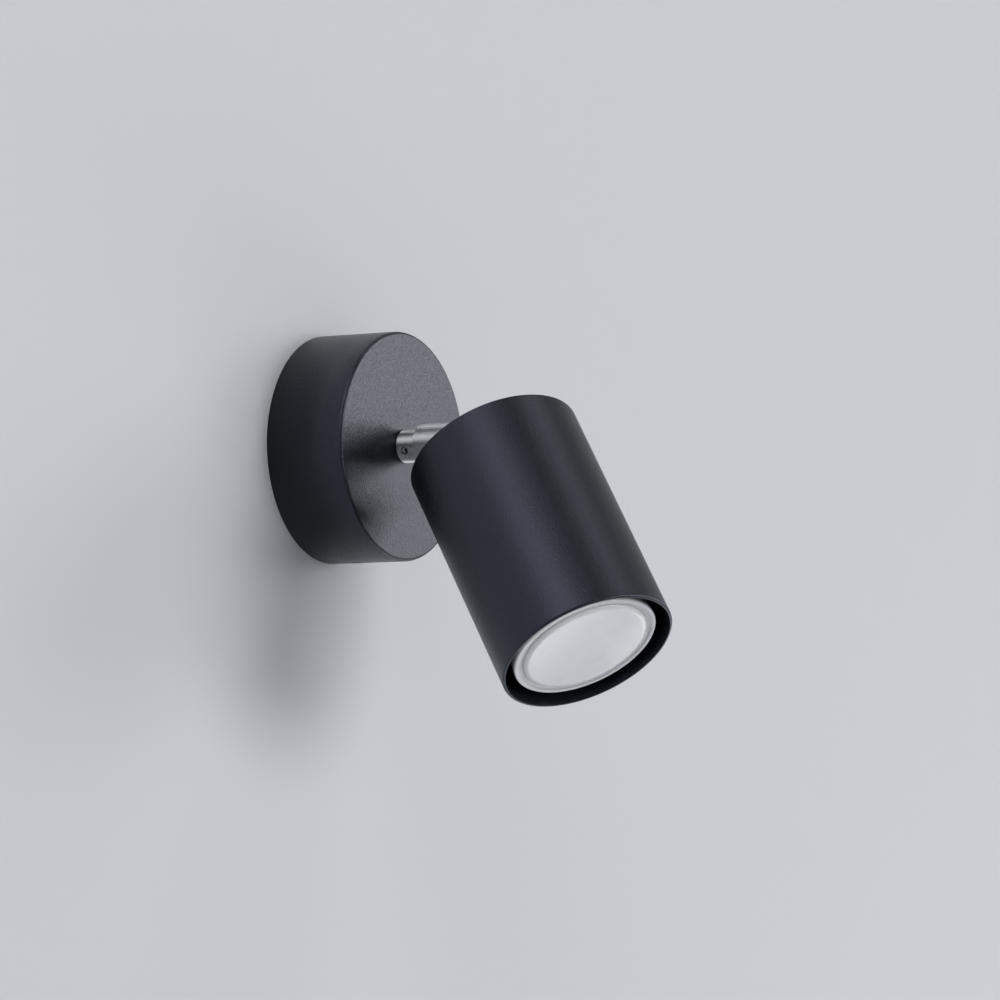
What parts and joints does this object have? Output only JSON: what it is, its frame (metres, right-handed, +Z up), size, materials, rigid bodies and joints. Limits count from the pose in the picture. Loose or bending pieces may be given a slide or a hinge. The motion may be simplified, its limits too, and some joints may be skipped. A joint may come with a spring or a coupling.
{
  "type": "wall light",
  "caption": "Pivoting spotlight wall light: round canopy, short hollow swivel stem and a tubular tilting head holding a push-and-turn reflector lamp.",
  "frame": {"origin": "centre of the canopy's back, on the wall, between the two wall screw slots", "axes": "+Y into the wall, -Y out of the wall along the stem, +Z up"},
  "size_m": [0.0871, 0.1378, 0.129],
  "materials": {
    "black_paint": "fine textured satin powder coat",
    "zinc_steel": "bright zinc plate",
    "black_steel": "blackened steel",
    "polyamide": "moulded",
    "brass": "turned",
    "tinned_brass": "tinned",
    "brown_lead": "extruded insulation",
    "blue_lead": "extruded insulation",
    "green_lead": "extruded insulation",
    "sleeved_leads": "extruded insulation",
    "brushed_steel": "satin brushed nickel plate",
    "fibre": "pressed fibre",
    "nylon": "stamped",
    "ceramic": "unglazed ceramic",
    "bronze": "rolled spring strip",
    "lamp_white": "moulded",
    "nickel_pins": "nickel plate",
    "board_white": "solder mask",
    "led_yellow": "silicone over the chip",
    "board_green": "solder mask",
    "driver_black": "moulded",
    "lamp_clear": "moulded, glossy",
    "lamp_opal": "moulded opal"
  },
  "bodies": {
    "base": {"canopy": "black_paint", "wall_bracket": "zinc_steel", "canopy_screws": "black_steel", "stop_stud": "zinc_steel", "terminal_block": "polyamide", "terminal_clamps": "brass", "terminal_screws": "zinc_steel", "block_screw": "zinc_steel", "earth_screw": "brass", "earth_tag": "tinned_brass", "live_lead_base": "brown_lead", "neutral_lead_base": "blue_lead", "earth_lead_base": "green_lead"},
    "stem": {"swivel_fork": "brushed_steel", "nipple": "zinc_steel", "set_screw": "zinc_steel", "friction_washer": "fibre", "stop_washer": "zinc_steel", "spring_washer": "zinc_steel", "nipple_nut": "zinc_steel", "tilt_washers": "nylon", "stem_leads": "sleeved_leads"},
    "head": {"knuckle": "brushed_steel", "pivot_screws": "zinc_steel", "rear_disc": "black_paint", "head_tube": "black_paint", "holder_bracket": "zinc_steel", "stud_lock_washer": "zinc_steel", "stud_nut": "zinc_steel", "lampholder": "ceramic", "holder_contacts": "bronze", "holder_screws": "zinc_steel", "head_earth_tag": "tinned_brass", "head_earth_screw": "brass", "head_earth_nut": "zinc_steel", "live_lead_head": "brown_lead", "neutral_lead_head": "blue_lead", "earth_lead_head": "green_lead"},
    "lamp": {"lamp_base": "lamp_white", "lamp_pins": "nickel_pins", "lamp_body": "lamp_white", "led_board": "board_white", "led_chips": "led_yellow", "driver_board": "board_green", "driver_parts": "driver_black", "lamp_bezel": "lamp_clear", "lamp_diffuser": "lamp_opal"}
  },
  "joints": [
    {"name": "stem_swivel", "type": "hinge", "parent": "base", "child": "stem", "pos_m": [0, 0, 0], "axis": [0, 1, 0], "range_deg": [-174.4, 145.6]},
    {"name": "head_tilt", "type": "hinge", "parent": "stem", "child": "head", "pos_m": [0, -0.064, 0], "axis": [0.9686, 0, -0.2487], "range_deg": [-141.8, 28.2]},
    {"name": "lamp_twist", "type": "hinge", "parent": "head", "child": "lamp", "pos_m": [0, -0.064, 0], "axis": [-0.2081, -0.5476, -0.8105], "range_deg": [0, 45]}
  ]
}
